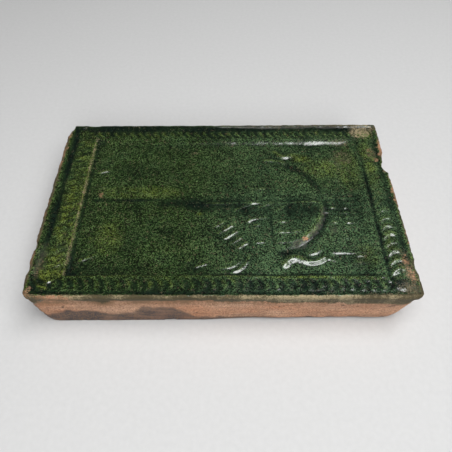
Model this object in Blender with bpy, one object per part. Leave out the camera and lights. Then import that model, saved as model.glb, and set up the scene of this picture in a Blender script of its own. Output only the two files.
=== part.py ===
"""A moulded stove tile: a face plate with a framed relief, and a hollow collar behind it.

The tile lies on the rim of its collar with its face up. X runs along the picture, from its head (-X)
to its foot (+X), Y runs across it and +Z leaves the face. The picture is a vase with two scroll handles
on a low plinth, with leaves and rosettes over its mouth, worn nearly flat on the far half. Sizes are in
millimetres; MM turns them to metres where the mesh is made.
"""

import bmesh
import bpy
import numpy as np

MM = 0.001

# Face plate
FACE_LENGTH = 300.0  # along X
FACE_WIDTH = 200.0  # along Y
TILE_DEPTH = 45.0  # from the collar's rim to the top of the face's border
FACE_CORNER = 5.0  # radius of the worn corners
FIELD_DEPTH = 3.6  # how far the picture's ground lies below the border
AXIS_Y = -3.0  # the picture's middle line, a little off the plate's own
GRID_STEP = 1.6  # spacing of the surface before it is thinned
KEPT_SHARE = 0.125  # share of the triangles that the thinning keeps

# Outside of the plate's edge and of the collar, from the face down to the rim: inset, height, corner radius
OUTER_RINGS = (
    (0.0, 41.6, 5.0),
    (0.4, 38.6, 5.2),
    (1.4, 37.0, 5.6),
    (2.6, 28.0, 6.5),
    (4.6, 12.0, 10.5),
    (6.0, 1.2, 14.0),
    (6.8, 0.0, 14.5),
)
# Inside of the collar, from the rim up to the back of the plate
INNER_RINGS = (
    (16.6, 0.0, 9.0),
    (17.0, 1.2, 9.0),
    (15.0, 18.0, 9.0),
    (14.2, 29.0, 9.0),
    (16.2, 31.8, 8.0),
    (20.0, 32.6, 5.0),
)
COLLAR_SHIFT = -2.0  # the collar sits this far towards -X from the plate's middle
COLLAR_TURN = 0.008  # and is luted on this much askew, in radians
COLLAR_INSET = 6.8  # inset at which the whole shift and turn are reached
FOOT_BEVEL = 1.7  # how far the collar's foot is rubbed in along its near side, from the middle to the foot
FOOT_BEVEL_TOP, FOOT_BEVEL_ALONG = 5.0, (-20.0, 25.0)  # height up to which it is rubbed, X over which that starts

# Frame: its section, from the tile's edge to the field, at knots that each side sets at its own insets
SECTION_KNOTS = (0.0, 0.03, 0.1, 0.2, 0.34, 0.42, 0.54, 0.66, 0.78, 0.88, 0.94, 1.0, 1.2)
SECTION_HEIGHTS = (-1.3, -0.2, 0.0, -1.4, -1.9, -0.9, -0.3, -0.1, -0.3, -1.0, -1.1, -3.9, -3.9)
ROLL = (0.42, 0.88)  # the gouged roll's share of the section
SIDES = (  # head, foot, near, far: insets of the knots, rib pitch, where a rib starts
    ((0.0, 0.7, 2.2, 5.5, 10.0, 12.0, 15.5, 19.0, 22.5, 25.0, 26.8, 31.5, 36.0), 7.7, 0.0),
    ((0.0, 0.6, 1.8, 4.2, 6.8, 8.5, 11.5, 14.5, 17.5, 20.5, 21.5, 24.0, 29.0), 8.7, -76.3),
    ((0.0, 0.6, 1.6, 3.4, 5.6, 7.2, 10.0, 13.0, 16.0, 18.5, 19.8, 21.8, 27.0), 8.0, -113.0),
    ((0.0, 0.8, 2.6, 5.5, 9.0, 10.5, 13.0, 15.5, 17.6, 19.6, 21.0, 27.0, 34.0), 7.8, 0.0),
)
RIB_CUT = 1.1  # depth of the cuts between the ribs
ROLL_LEFT = (0.6, 0.9, 0.6, 0.7)  # how much of that depth wear and thick glaze leave on each side
FOOT_FADE, FOOT_FADED = (-32.0, 5.0), 0.25  # the foot's ribs fade between these Y to this share of their depth
RIB_BEND, RIB_BEND_PLACE = 0.34, -0.43  # how far a rib's lip curves, in ribs, and where across the roll it turns
RIB_FALL = 0.32  # share of a rib that its steep side takes
SECTION_LEFT = (1.0, 1.0, 0.3, 0.9)  # the same for the section, between its lip and its fillet
FILLED_LEVEL = -0.9  # height to which the glaze fills the rest of it
FILL_TOP, FILL_DROP = -1.1, 2.9  # thick glaze slopes from the frame down to the field: its top and its fall,
FILL_FROM, FILL_TO = 84.0, 67.0  # and the distances from the middle line where it starts and ends
FILL_CLEAR = (-20.0, 25.0)  # X over which the long slope gives way to the carved one
HEAD_CLEAR = (-108.0, -121.0)  # the same before the head's roll
CARVED_DROP = 3.0  # how much lower the carved slope lies than the glaze's
FAR_SLOPE = ((64.0, 70.0, 72.5, 76.0, 80.0), (-4.2, -3.9, -3.25, -1.85, -1.1))  # the far side's own: Y, height
FOOT_FILL, FOOT_FILL_DROP = -1.5, 2.4  # the same before the foot's roll
FOOT_FILL_FROM, FOOT_FILL_TO = 128.0, 108.0
BOSSES = ((-133.0, -80.0), (-134.0, 87.0), (136.0, -87.0), (137.0, 86.0))  # middles of the corner bosses
BOSS_RADIUS = 8.5
BOSS_RISE = 1.4
GROOVE_ENDS = (86.0, 78.0)  # the grooves beside the head's and foot's rolls end between these Y
HEAD_GROOVE_X, HEAD_GROOVE_DEPTH, HEAD_GROOVE_HALF = -119.0, 0.2, 3.0
FOOT_GROOVE_X, FOOT_GROOVE_DEPTH, FOOT_GROOVE_HALF = 128.2, 0.8, 2.4

# Vase: a flat-topped bowl that widens to its mouth, and two scroll handles
MOUTH_X = 42.0
BOWL_DROP = 46.0  # from the mouth to the bottom of the bowl
BOWL_REACH = 51.5  # from the middle line to the side of the bowl
BOWL_HEIGHT = 2.4
BOWL_SHOULDER = 4.0  # width over which its top rounds down to its edge
BOWL_DROWNED = 0.45  # share of the height that the glaze leaves along its far edge
BOWL_GROOVE_NEAR, BOWL_GROOVE_FAR, BOWL_GROOVE_OUT, BOWL_GROOVE_HALF = 0.8, 0.2, 1.8, 3.0
BOWL_WORN = 0.15  # share of the height left at its mouth, which it regains between the next two distances
BOWL_WORN_RUN = (12.0, 30.0)
HANDLE_PATH = ((48.5, 64.5), (53, 60), (57.5, 58.5), (62.5, 60), (68, 62.5), (74, 62.5), (80.5, 59))
HANDLE_HALF_WIDTH, HANDLE_HEIGHT = 4.9, 1.6
HANDLE_TAPER, HANDLE_TAPERED = (60.0, 70.0), 0.7  # the handle narrows between these X to this share
CURL_PATH = ((68.5, 54.5), (73, 54), (77, 51.5), (79, 48.5))
CURL_HALF_WIDTH, CURL_HEIGHT = 3.0, 0.8

# Plinth, as steps: from X, to X, half width, height
PLINTH_STEPS = (
    (86.0, 121.0, 54.5, 0.35),
    (85.0, 96.0, 15.0, 0.45),
    (91.0, 114.0, 31.0, 0.35),
)

# Bunch: X and distance out from the middle line, the same on both sides
VEIN_START, VEIN_STEP, VEIN_TILT = (-2.8, 23.9), (4.75, 5.6), 37.0
VEIN_HALVES = (4.2, 7.3, 6.5, 5.0, 4.4)  # half length of each vein, from the stem outwards
VEIN_HALF_WIDTH, VEIN_HEIGHT = 2.8, 1.1
ROSETTE_CENTRE = (1.0, 54.0)
ROSETTE_ARCS = ((20.0, 1.2), (14.6, 0.9), (11.0, 0.8))  # radius, height
ARC_HALF_WIDTH = 2.8
STROKES = (  # points, half width, height
    (((21, 21), (25, 18.5), (31, 17), (37, 16.5)), 2.8, 0.9),
    (((27, 25.2), (30.5, 24.6)), 2.4, 0.9),
    (((26, 42.8), (33, 42.6)), 2.2, 0.8),
    (((46.5, 32.4), (64, 32.4)), 2.2, 0.85),
    (((46.5, 42.8), (56, 42.2), (61, 39.5)), 2.2, 0.8),
    (((-21, 67.5), (-13, 64.5)), 2.4, 0.8),
    (((-112, 61), (-101, 55.5)), 2.6, 0.85),
    (((-113, 39), (-107, 38.5), (-102, 38)), 2.6, 0.6),
)
FAR_LEFT = 0.3  # how much of the picture's height is left on the far half
FAR_HANDLE_WORN = (74.0, 60.0)  # the far handle is worn away from the first X on, and whole up to the second

# Damage
EDGE_NICKS = (  # side, place along it, half width, depth; the first is the plate's own taper towards its head
    ("+y", -150.0, 260.0, 2.0),
    ("-x", 100.0, 11.0, 3.4),
    ("-x", -98.0, 16.0, 1.4),
    ("+x", 46.0, 14.0, 2.6),
    ("+x", 39.0, 7.5, 3.0),
    ("+x", -72.0, 7.0, 1.2),
    ("-x", -52.0, 5.0, 1.4),
    ("-x", -74.0, 5.0, 1.2),
    ("-x", 92.0, 10.0, 2.4),
    ("+y", -126.0, 7.0, 1.4),
    ("-y", -139.0, 9.0, 1.0),
    ("-y", 96.0, 7.0, 0.8),
)
NICK_REACH = 9.0  # how far in from the edge a nick is felt
FOOT_NICKS = ((-42.0, 5.0, 2.6), (100.0, 4.0, 2.2))  # X, half width, height, in the near wall's lower edge

GLAZE_COLOUR = (0.031, 0.056, 0.017, 1.0)
CLAY_COLOUR = (0.42, 0.22, 0.14, 1.0)


def smooth(low, high, value):
    """Rises from 0 at low to 1 at high with level ends."""
    share = np.clip((value - low) / (high - low), 0.0, 1.0)
    return share * share * (3.0 - 2.0 * share)


def ridge(distance, half_width):
    """A rounded ridge: 1 on its line, falling as a parabola to 0 at half_width."""
    return np.clip(1.0 - (distance / half_width) ** 2, 0.0, 1.0)


def to_stroke(x, y, start, end):
    """Distance from each point to the straight stroke from start to end."""
    start, end = np.array(start, float), np.array(end, float)
    run = end - start
    share = ((x - start[0]) * run[0] + (y - start[1]) * run[1]) / (run @ run)
    share = np.clip(share, 0.0, 1.0)
    return np.hypot(x - start[0] - share * run[0], y - start[1] - share * run[1])


def to_path(x, y, points, steps=5):
    """Distance to a Catmull-Rom curve through the points, taken as short strokes."""
    p = np.array([points[0], *points, points[-1]], float)
    t = np.arange(steps)[:, None] / steps
    curve = [
        0.5 * (2 * b + (c - a) * t + (2 * a - 5 * b + 4 * c - d) * t**2 + (3 * b - a - 3 * c + d) * t**3)
        for a, b, c, d in zip(p, p[1:], p[2:], p[3:])
    ]
    curve = np.vstack([*curve, p[-1:]])
    return np.min([to_stroke(x, y, a, b) for a, b in zip(curve, curve[1:])], axis=0)


def mound(distance, half_width):
    """A soft ridge: 1 on its line, falling with level ends to 0 at half_width."""
    return ridge(distance, half_width) ** 2


def frame_place(x, y):
    """Share of the frame's section reached from the edge, the way along it in ribs, anticlockwise, and the side."""
    insets = x + FACE_LENGTH / 2, FACE_LENGTH / 2 - x, y + FACE_WIDTH / 2, FACE_WIDTH / 2 - y
    runs = -y, y, x, -x
    shares = np.stack([np.interp(inset, knots, SECTION_KNOTS) for inset, (knots, _, _) in zip(insets, SIDES)])
    side = np.argmin(shares, axis=0)
    pitches = np.array([pitch for _, pitch, _ in SIDES])[side]
    starts = np.array([start for _, _, start in SIDES])[side]
    return shares.min(axis=0), (np.choose(side, runs) - starts) / pitches, side


def gouges(turn, across):
    """Thumbnail cuts in a row: each falls steeply from its curved far lip, then rises slowly to the next lip."""
    place = turn + RIB_BEND * (across - RIB_BEND_PLACE) ** 2
    place = place - np.floor(place)
    return smooth(0.0, RIB_FALL, place) * smooth(1.0, RIB_FALL, place)


def roll_cut(share, turn, side, y):
    """How deep the roll is cut at each point, as a share of the full cut, less where it is worn or drowned."""
    first, last = ROLL
    across = (share - (first + last) / 2) / ((last - first) / 2)
    left = np.array(ROLL_LEFT)[side] * (1.0 - (1.0 - FOOT_FADED) * (side == 1) * smooth(*FOOT_FADE, y))
    return left * ridge(across, 1.12) ** 0.5 * (1.0 - gouges(turn, across))


def frame_relief(x, y):
    """The frame: lip, groove, gouged roll and fillet, its corners covered by worn bosses."""
    share, turn, side = frame_place(x, y)
    section = np.interp(share, SECTION_KNOTS, SECTION_HEIGHTS)
    filled = (1.0 - np.array(SECTION_LEFT)[side]) * smooth(0.08, 0.2, share) * smooth(0.97, 0.9, share)
    section = section + filled * (FILLED_LEVEL - section)
    section = section - RIB_CUT * roll_cut(share, turn, side, y)
    for centre_x, centre_y in BOSSES:
        away = np.hypot(x - centre_x, y - centre_y)
        boss = -0.2 - BOSS_RISE * (away / BOSS_RADIUS) ** 2
        section = np.where(away < BOSS_RADIUS, np.maximum(boss, section - 0.5), section)
    return section


def block(x, out, measures):
    """A flat-topped step: from X, to X, half width, height, with its edges eased over a millimetre and a half."""
    low, high, half_width, height = measures
    inside = np.minimum(np.minimum(x - low, high - x), half_width - out)
    return height * smooth(-0.7, 0.9, inside)


def bowl_relief(x, out, near):
    """The bowl: flat, worn low at its mouth, rounding over its near shoulder into a groove, drowned on its far side."""
    from_edge = (np.hypot((x - MOUTH_X) / BOWL_DROP, out / BOWL_REACH) - 1.0) * BOWL_DROP
    over = np.clip((from_edge + BOWL_SHOULDER) / BOWL_SHOULDER, 0.0, 1.0)
    drowned = BOWL_DROWNED * BOWL_HEIGHT * smooth(2.0, -9.0, from_edge)
    top = drowned + near * (BOWL_HEIGHT * np.sqrt(1.0 - over**2) - drowned)
    groove = BOWL_GROOVE_FAR + near * (BOWL_GROOVE_NEAR - BOWL_GROOVE_FAR)
    top = top - groove * mound(from_edge - BOWL_GROOVE_OUT, BOWL_GROOVE_HALF)
    down = x - MOUTH_X
    return top * (BOWL_WORN * smooth(-1.0, 1.5, down) + (1.0 - BOWL_WORN) * smooth(*BOWL_WORN_RUN, down))


def vein_lines():
    """The leaf's parallel veins as strokes, each moved on from the last along the leaf."""
    tilt = np.array([np.cos(np.radians(VEIN_TILT)), -np.sin(np.radians(VEIN_TILT))])
    for index, half in enumerate(VEIN_HALVES):
        middle = np.array(VEIN_START) + index * np.array(VEIN_STEP)
        yield middle - half * tilt, middle + half * tilt


def rosette_relief(x, out):
    """Petal edges as arcs round one centre, kept only where they turn towards the vase's foot and outwards."""
    down, aside = x - ROSETTE_CENTRE[0], out - ROSETTE_CENTRE[1]
    away = np.hypot(down, aside)
    facing = (0.62 * down + 0.78 * aside) / np.maximum(away, 1.0)
    arcs = [height * mound(away - radius, ARC_HALF_WIDTH) for radius, height in ROSETTE_ARCS]
    return np.max(arcs, axis=0) * smooth(0.45, 0.85, facing)


def picture_relief(x, y):
    """The picture over the field: vase, handles, plinth and bunch, each as worn as it is left on its side."""
    out = np.abs(y - AXIS_Y)
    near = smooth(6.0, -6.0, y - AXIS_Y)
    left = FAR_LEFT + (1.0 - FAR_LEFT) * near
    handle_half = HANDLE_HALF_WIDTH * (1.0 - (1.0 - HANDLE_TAPERED) * smooth(*HANDLE_TAPER, x))
    handles = HANDLE_HEIGHT * mound(to_path(x, out, HANDLE_PATH), handle_half)
    handles = handles * (near + (1.0 - near) * smooth(*FAR_HANDLE_WORN, x))
    plinth = np.max([block(x, out, measures) for measures in PLINTH_STEPS], axis=0)
    height = np.maximum(np.maximum(bowl_relief(x, out, near), handles), plinth * left)
    lines = CURL_HEIGHT * mound(to_path(x, out, CURL_PATH), CURL_HALF_WIDTH) + rosette_relief(x, out)
    lines = lines + sum(VEIN_HEIGHT * mound(to_stroke(x, out, *ends), VEIN_HALF_WIDTH) for ends in vein_lines())
    lines = lines + sum(tall * mound(to_path(x, out, points), half) for points, half, tall in STROKES)
    return height + lines * left


def glaze_fill(x, y):
    """The lowest level that thick glaze leaves beside the frame: a long slope, steeper and carved towards the foot."""
    from_middle = np.where(y < 0, -y - 1.0, y + 2.0)
    gentle = FILL_TOP - FILL_DROP * smooth(FILL_FROM, FILL_TO, from_middle)
    carved = np.where(y > 0, np.interp(y, *FAR_SLOPE), gentle - CARVED_DROP)
    level = gentle + (carved - gentle) * smooth(*FILL_CLEAR, x) - CARVED_DROP * smooth(*HEAD_CLEAR, x)
    return np.maximum(level, FOOT_FILL - FOOT_FILL_DROP * smooth(FOOT_FILL_FROM, FOOT_FILL_TO, x))


def face_height(x, y):
    """Height of the glazed face over the collar's rim, in millimetres."""
    share, _, _ = frame_place(x, y)
    field = -FIELD_DEPTH + picture_relief(x, y) * smooth(1.0, 1.15, share)
    height = np.where(share < 1.0, frame_relief(x, y), field)
    height = TILE_DEPTH + np.maximum(height, glaze_fill(x, y))
    grooves = HEAD_GROOVE_DEPTH * mound(x - HEAD_GROOVE_X, HEAD_GROOVE_HALF)
    grooves = grooves + FOOT_GROOVE_DEPTH * mound(x - FOOT_GROOVE_X, FOOT_GROOVE_HALF)
    return height - grooves * smooth(*GROOVE_ENDS, np.abs(y))


def rounded(sx, sy, inset, radius):
    """Carries points of the square from -1 to 1 onto a rounded rectangle, inset from the face's outline."""
    half = np.array([FACE_LENGTH / 2 - inset, FACE_WIDTH / 2 - inset])
    x, y = sx * half[0], sy * half[1]
    over_x = np.clip(np.abs(x) - (half[0] - radius), 0.0, None)
    over_y = np.clip(np.abs(y) - (half[1] - radius), 0.0, None)
    shrink = np.maximum(over_x, over_y) / np.maximum(np.hypot(over_x, over_y), 1e-9)
    shrink = np.where((over_x > 0) & (over_y > 0), shrink, 1.0)
    askew = min(inset / COLLAR_INSET, 1.0)
    x = np.sign(x) * (np.abs(x) - over_x * (1.0 - shrink))
    y = np.sign(y) * (np.abs(y) - over_y * (1.0 - shrink))
    return x + askew * (COLLAR_SHIFT - COLLAR_TURN * y), y + askew * COLLAR_TURN * x


def nicked(x, y):
    """Pushes the plate's edge inwards at its nicks, fading out towards the field."""
    for side, place, half_width, depth in EDGE_NICKS:
        sign = 1.0 if side[0] == "+" else -1.0
        if side[1] == "x":
            reach = smooth(FACE_LENGTH / 2 - NICK_REACH, FACE_LENGTH / 2, sign * x)
            x = x - sign * depth * reach * ridge(y - place, half_width)
        else:
            reach = smooth(FACE_WIDTH / 2 - NICK_REACH, FACE_WIDTH / 2, sign * y)
            y = y - sign * depth * reach * ridge(x - place, half_width)
    return x, y


def rim_loop(columns, rows):
    """Indices of the face grid's outer points, once round."""
    grid = np.arange(columns * rows).reshape(rows, columns)
    return np.concatenate([grid[0, :-1], grid[:-1, -1], grid[-1, :0:-1], grid[:0:-1, 0]])


def tile_surface():
    """Points and faces of the whole closed surface: the face's grid, the rings round it and the back."""
    columns = round(FACE_LENGTH / GRID_STEP) + 1
    rows = round(FACE_WIDTH / GRID_STEP) + 1
    sx, sy = np.meshgrid(np.linspace(-1, 1, columns), np.linspace(-1, 1, rows))
    sx, sy = sx.ravel(), sy.ravel()
    x, y = rounded(sx, sy, 0.0, FACE_CORNER)
    points = [np.column_stack([*nicked(x, y), face_height(x, y)])]
    corner = (np.arange(rows - 1)[:, None] * columns + np.arange(columns - 1)).ravel()
    faces = np.column_stack([corner, corner + 1, corner + columns + 1, corner + columns]).tolist()

    loop = rim_loop(columns, rows)
    above = loop
    start = columns * rows
    for inset, height, radius in OUTER_RINGS + INNER_RINGS:
        ring_x, ring_y = rounded(sx[loop], sy[loop], inset, radius)
        if height > TILE_DEPTH - 8.0:
            ring_x, ring_y = nicked(ring_x, ring_y)
        if (inset, height, radius) in OUTER_RINGS:
            rubbed = FOOT_BEVEL * smooth(FOOT_BEVEL_TOP, 0.0, height) * smooth(*FOOT_BEVEL_ALONG, ring_x)
            ring_y = ring_y + rubbed * (ring_y < 0)
        ring_z = np.full(len(loop), height)
        if (inset, height, radius) == OUTER_RINGS[-1]:
            for place, half_width, tall in FOOT_NICKS:
                ring_z += tall * ridge(ring_x - place, half_width) * (ring_y < 0)
        points.append(np.column_stack([ring_x, ring_y, ring_z]))
        below = start + np.arange(len(loop))
        faces += np.column_stack([above, below, np.roll(below, -1), np.roll(above, -1)]).tolist()
        above = below
        start += len(loop)
    faces.append(above.tolist())
    return np.vstack(points) * MM, faces


def material(name, colour, roughness):
    made = bpy.data.materials.new(name)
    made.use_nodes = True
    shader = made.node_tree.nodes["Principled BSDF"]
    shader.inputs["Base Color"].default_value = colour
    shader.inputs["Roughness"].default_value = roughness
    return made


def make_tile():
    """The one fired piece: its fine surface, thinned where it is plain, glazed on the face only."""
    points, faces = tile_surface()
    mesh = bpy.data.meshes.new("stove_tile")
    mesh.from_pydata(points.tolist(), [], faces)
    mesh.materials.append(material("green_lead_glaze", GLAZE_COLOUR, 0.22))
    mesh.materials.append(material("fired_red_clay", CLAY_COLOUR, 0.85))

    shape = bmesh.new()
    shape.from_mesh(mesh)
    bmesh.ops.recalc_face_normals(shape, faces=shape.faces)
    for face in shape.faces:
        face.material_index = 0 if face.normal.z > 0.3 else 1
    shape.to_mesh(mesh)
    shape.free()

    tile = bpy.data.objects.new("stove_tile", mesh)
    bpy.context.scene.collection.objects.link(tile)
    thin = tile.modifiers.new("thin the plain surface", "DECIMATE")
    thin.ratio = KEPT_SHARE
    thin.use_collapse_triangulate = True
    return tile


def main():
    for thing in list(bpy.data.objects):
        bpy.data.objects.remove(thing, do_unlink=True)
    make_tile()


main()
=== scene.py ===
"""A green-glazed relief stove tile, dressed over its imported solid.

The tile lies on the rim of its hollow collar with its face up. X runs along the picture from its head
(-X) to its foot (+X), Y runs across it and +Z leaves the face. Relief sizes are in millimetres.
"""

import math

import bpy
import mathutils
import numpy as np
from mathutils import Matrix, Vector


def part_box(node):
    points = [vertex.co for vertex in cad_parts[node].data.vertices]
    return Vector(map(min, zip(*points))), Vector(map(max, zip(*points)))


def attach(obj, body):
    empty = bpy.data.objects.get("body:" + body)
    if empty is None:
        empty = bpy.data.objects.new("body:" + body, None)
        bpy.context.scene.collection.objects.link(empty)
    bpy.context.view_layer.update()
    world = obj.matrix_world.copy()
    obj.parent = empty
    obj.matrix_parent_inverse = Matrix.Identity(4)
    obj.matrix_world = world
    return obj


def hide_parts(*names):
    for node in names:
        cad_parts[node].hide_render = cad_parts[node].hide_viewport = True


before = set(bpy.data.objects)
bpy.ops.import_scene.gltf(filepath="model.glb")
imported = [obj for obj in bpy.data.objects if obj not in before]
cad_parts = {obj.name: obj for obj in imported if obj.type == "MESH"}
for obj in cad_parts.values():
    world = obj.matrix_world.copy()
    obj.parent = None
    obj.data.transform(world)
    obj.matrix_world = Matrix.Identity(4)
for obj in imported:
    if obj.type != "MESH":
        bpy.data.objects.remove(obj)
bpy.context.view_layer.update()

bl_info = {
    "name": "Glazed stove tile",
    "version": (1, 0, 0),
    "blender": (4, 5, 0),
    "location": "3D View > Sidebar > Stove tile",
    "description": "Makes a worn, green-glazed relief stove tile and a plain stage for it",
    "category": "Add Mesh",
}

# In the tables below a step is what it is measured along, where it is 0 and where it is 1. "share" is the
# share of the frame's section and "edge" the distance outside the bowl.

NODE = "stove_tile"
MM = 0.001

# The plate and the tile's depth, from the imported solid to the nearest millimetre
FACE_LENGTH, FACE_WIDTH, TILE_DEPTH = [float(round((high - low) / MM)) for low, high in zip(*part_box(NODE))]
FACE_CORNER = 5.0
AXIS_Y = -3.0  # the picture's middle line

# Outside of the plate's edge and of the collar, from the face down to the rim: inset, height, corner radius
OUTER_RINGS = (
    (0, 41.6, 5),
    (0.4, 38.6, 5.2),
    (1.4, 37, 5.6),
    (2.6, 28, 6.5),
    (4.6, 12, 10.5),
    (6, 1.2, 14),
    (6.8, 0, 14.5),
)
INNER_RINGS = (  # inside of the collar, from the rim up to the back of the plate
    (16.6, 0, 9),
    (17, 1.2, 9),
    (15, 18, 9),
    (14.2, 29, 9),
    (16.2, 31.8, 8),
    (20, 32.6, 5),
)
COLLAR_SHIFT, COLLAR_INSET = -2.0, 6.8
COLLAR_TURN = 0.008  # the collar was luted on this much askew, in radians
PLATE_EDGE = (33.0, 39.0)  # heights between which the collar's wall turns into the plate's edge
BACK_DIP = 0.2  # how far the back of the plate is smeared in
OUTER_STEPS, INNER_STEPS, BACK_STEPS = 18, 12, 16
STEP_ALONG, STEP_ACROSS = 1.2, 0.82  # the relief's lines run along the tile: points are closer across it
INNER_SHARE = 4  # the inside has one point for this many of the outside's

# Frame: its section, from the tile's edge to the field, at knots that each side sets at its own insets
SECTION_KNOTS = (0, 0.03, 0.1, 0.2, 0.34, 0.42, 0.54, 0.66, 0.78, 0.88, 0.94, 1, 1.2)
SECTION_HEIGHTS = (-1.3, -0.2, 0, -1.4, -1.9, -0.9, -0.3, -0.1, -0.3, -1, -1.1, -3.9, -3.9)
SIDES = (  # head, foot, near, far: insets of the knots, rib pitch, where a rib starts
    ((0, 0.7, 2.2, 5.5, 10, 12, 15.5, 19, 22.5, 25, 26.8, 31.5, 36), 7.7, 0),
    ((0, 0.6, 1.8, 4.2, 6.8, 8.5, 11.5, 14.5, 17.5, 20.5, 21.5, 24, 29), 8.7, -76.3),
    ((0, 0.6, 1.6, 3.4, 5.6, 7.2, 10, 13, 16, 18.5, 19.8, 21.8, 27), 8, -113),
    ((0, 0.8, 2.6, 5.5, 9, 10.5, 13, 15.5, 17.6, 19.6, 21, 27, 34), 7.8, 0),
)
FOOT, FAR = 1, 3  # places of these two in the list of sides
ROLL = (0.42, 0.88)  # the gouged roll's share of the section
ROLL_LEFT = (0.6, 0.95, 0.6, 0.7)  # how much of the ribs' depth wear and thick glaze leave on each side
RIB_BEND, RIB_BEND_PLACE = 0.34, -0.43  # how far a rib's lip curves, in ribs, and where it turns
RIB_FALL = 0.32  # share of a rib that its steep side takes
FOOT_FADE, FOOT_FADED = (-32.0, 5.0), 0.25  # the foot's ribs fade between these Y to this share
SECTION_LEFT = (1, 1, 0.3, 0.9)  # how much of the section is left, between its lip and its fillet
FILLED_LEVEL, FILLED = -0.9, (("share", 0.08, 0.2), ("share", 0.97, 0.9))  # the glaze fills the rest
FAR_LIP_LEVEL, FAR_LIP_FILL = -0.5, 0.75  # and more of the far lip's groove, towards the head
FAR_LIP = (("x", 10, -30), ("share", 0.08, 0.12), ("share", 0.36, 0.3))
FILL_TOP, FILL_DROP = -1.1, 2.9  # thick glaze slopes from the frame down to the field: its top and its fall,
FILL_RUN, FILL_SHIFTS = (84.0, 67.0), (-1.0, 2.0)  # the Y between which it falls, with a shift near and far
FILL_CLEAR = (-20.0, 25.0)  # X over which the long slope gives way to the carved one
HEAD_CLEAR = (-108.0, -121.0)  # the same before the head's roll
CARVED_DROP = 3.0  # how much lower the carved slope lies than the glaze's
FOOT_FILL, FOOT_FILL_DROP, FOOT_FILL_RUN = -1.5, 2.4, (128.0, 108.0)  # the same before the foot's roll
FAR_SLOPE = ((64, 70, 72.5, 76, 80), (-4.2, -3.9, -3.25, -1.85, -1.1))  # the far side's own: Y, height
FILLET_Y, FILLET_HALF = 74.8, 2.6  # the far fillet's swell in the glaze
BOSSES = (  # middle X and Y, how much of the rings is left, height of the top
    (-133, -80, 0, 0),
    (-134, 87, 0.5, 0),
    (136, -87, 0.3, -0.8),
    (137, 86, 0.6, 0),
)
BOSS_RADIUS, BOSS_RING = 8.5, 4.0
BOSS_TOP, BOSS_RISE, BOSS_RELIEF = -0.2, 1.4, 0.3
BOSS_ARCS = (  # what is left of the near head boss's rings: points, half width, height
    (((-139.5, -74), (-138, -81), (-132, -85.5), (-126, -83), (-123.5, -77)), 2.2, 0.45),
    (((-142, -84), (-138.5, -89.5), (-132, -92)), 1.9, 0.36),
    (((-133, -76), (-130.5, -79), (-127.5, -76.5)), 1.7, 0.4),
)
GROOVE_ENDS = (86.0, 78.0)  # the foot's groove ends between these Y
HEAD_GROOVE_X, HEAD_GROOVE_DEPTH, HEAD_GROOVE_HALF, HEAD_GROOVE_END = -119.0, 0.2, 3.0, 84.0
FOOT_GROOVE_X, FOOT_GROOVE_DEPTH, FOOT_GROOVE_HALF = 128.2, 0.8, 1.9
FACE_SINK = 0.3  # how much lower the whole face lies, so that its drift stays inside the solid's depth

# Vase: a flat-topped bowl that widens to its mouth, and two scroll handles
MOUTH_X = 42.0
BOWL_DROP, BOWL_REACH = 46.0, 51.5
BOWL_SHOULDER = 4.0
BOWL_DROWNED = 0.45  # share of the height that the glaze leaves at its far edge
BOWL_GROOVE_NEAR, BOWL_GROOVE_FAR, BOWL_GROOVE_OUT, BOWL_GROOVE_HALF = 0.8, 0.2, 1.8, 3.0
BOWL_WORN, BOWL_WORN_RUN = 0.15, (12.0, 30.0)  # share left at its mouth, and where it regains the rest
HANDLE_PATH = ((48.5, 64.5), (53, 60), (57.5, 58.5), (62.5, 60), (68, 62.5), (74, 62.5), (80.5, 59))
HANDLE_HALF_WIDTH = 4.9
HANDLE_TAPER, HANDLE_TAPERED = (60.0, 70.0), 0.7  # the handle narrows between these X to this share
FAR_HANDLE_WORN = (74.0, 60.0)  # the far handle is worn away from the first X on, and whole up to the second
CURL_PATH = ((68.5, 54.5), (73, 54), (77, 51.5), (79, 48.5))
CURL_HALF_WIDTH, CURL_HEIGHT = 2.6, 0.68

# Plinth, as steps: from X, to X, half width, height
TABLE = (86, 121, 54.5, 0.35)
FOOT_STEP = (85, 96, 15, 0.3)
LATTICE_STEP = (91, 114, 31, 0.2)
BEAD_PITCH, BEAD_HEIGHT, BEAD_HALF_WIDTH, BEAD_HALF_LENGTH = 5.5, 0.75, 2.0, 3.0
BEADS_X = 88.5
FAR_PLINTH_LEFT = 0.7

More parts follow.
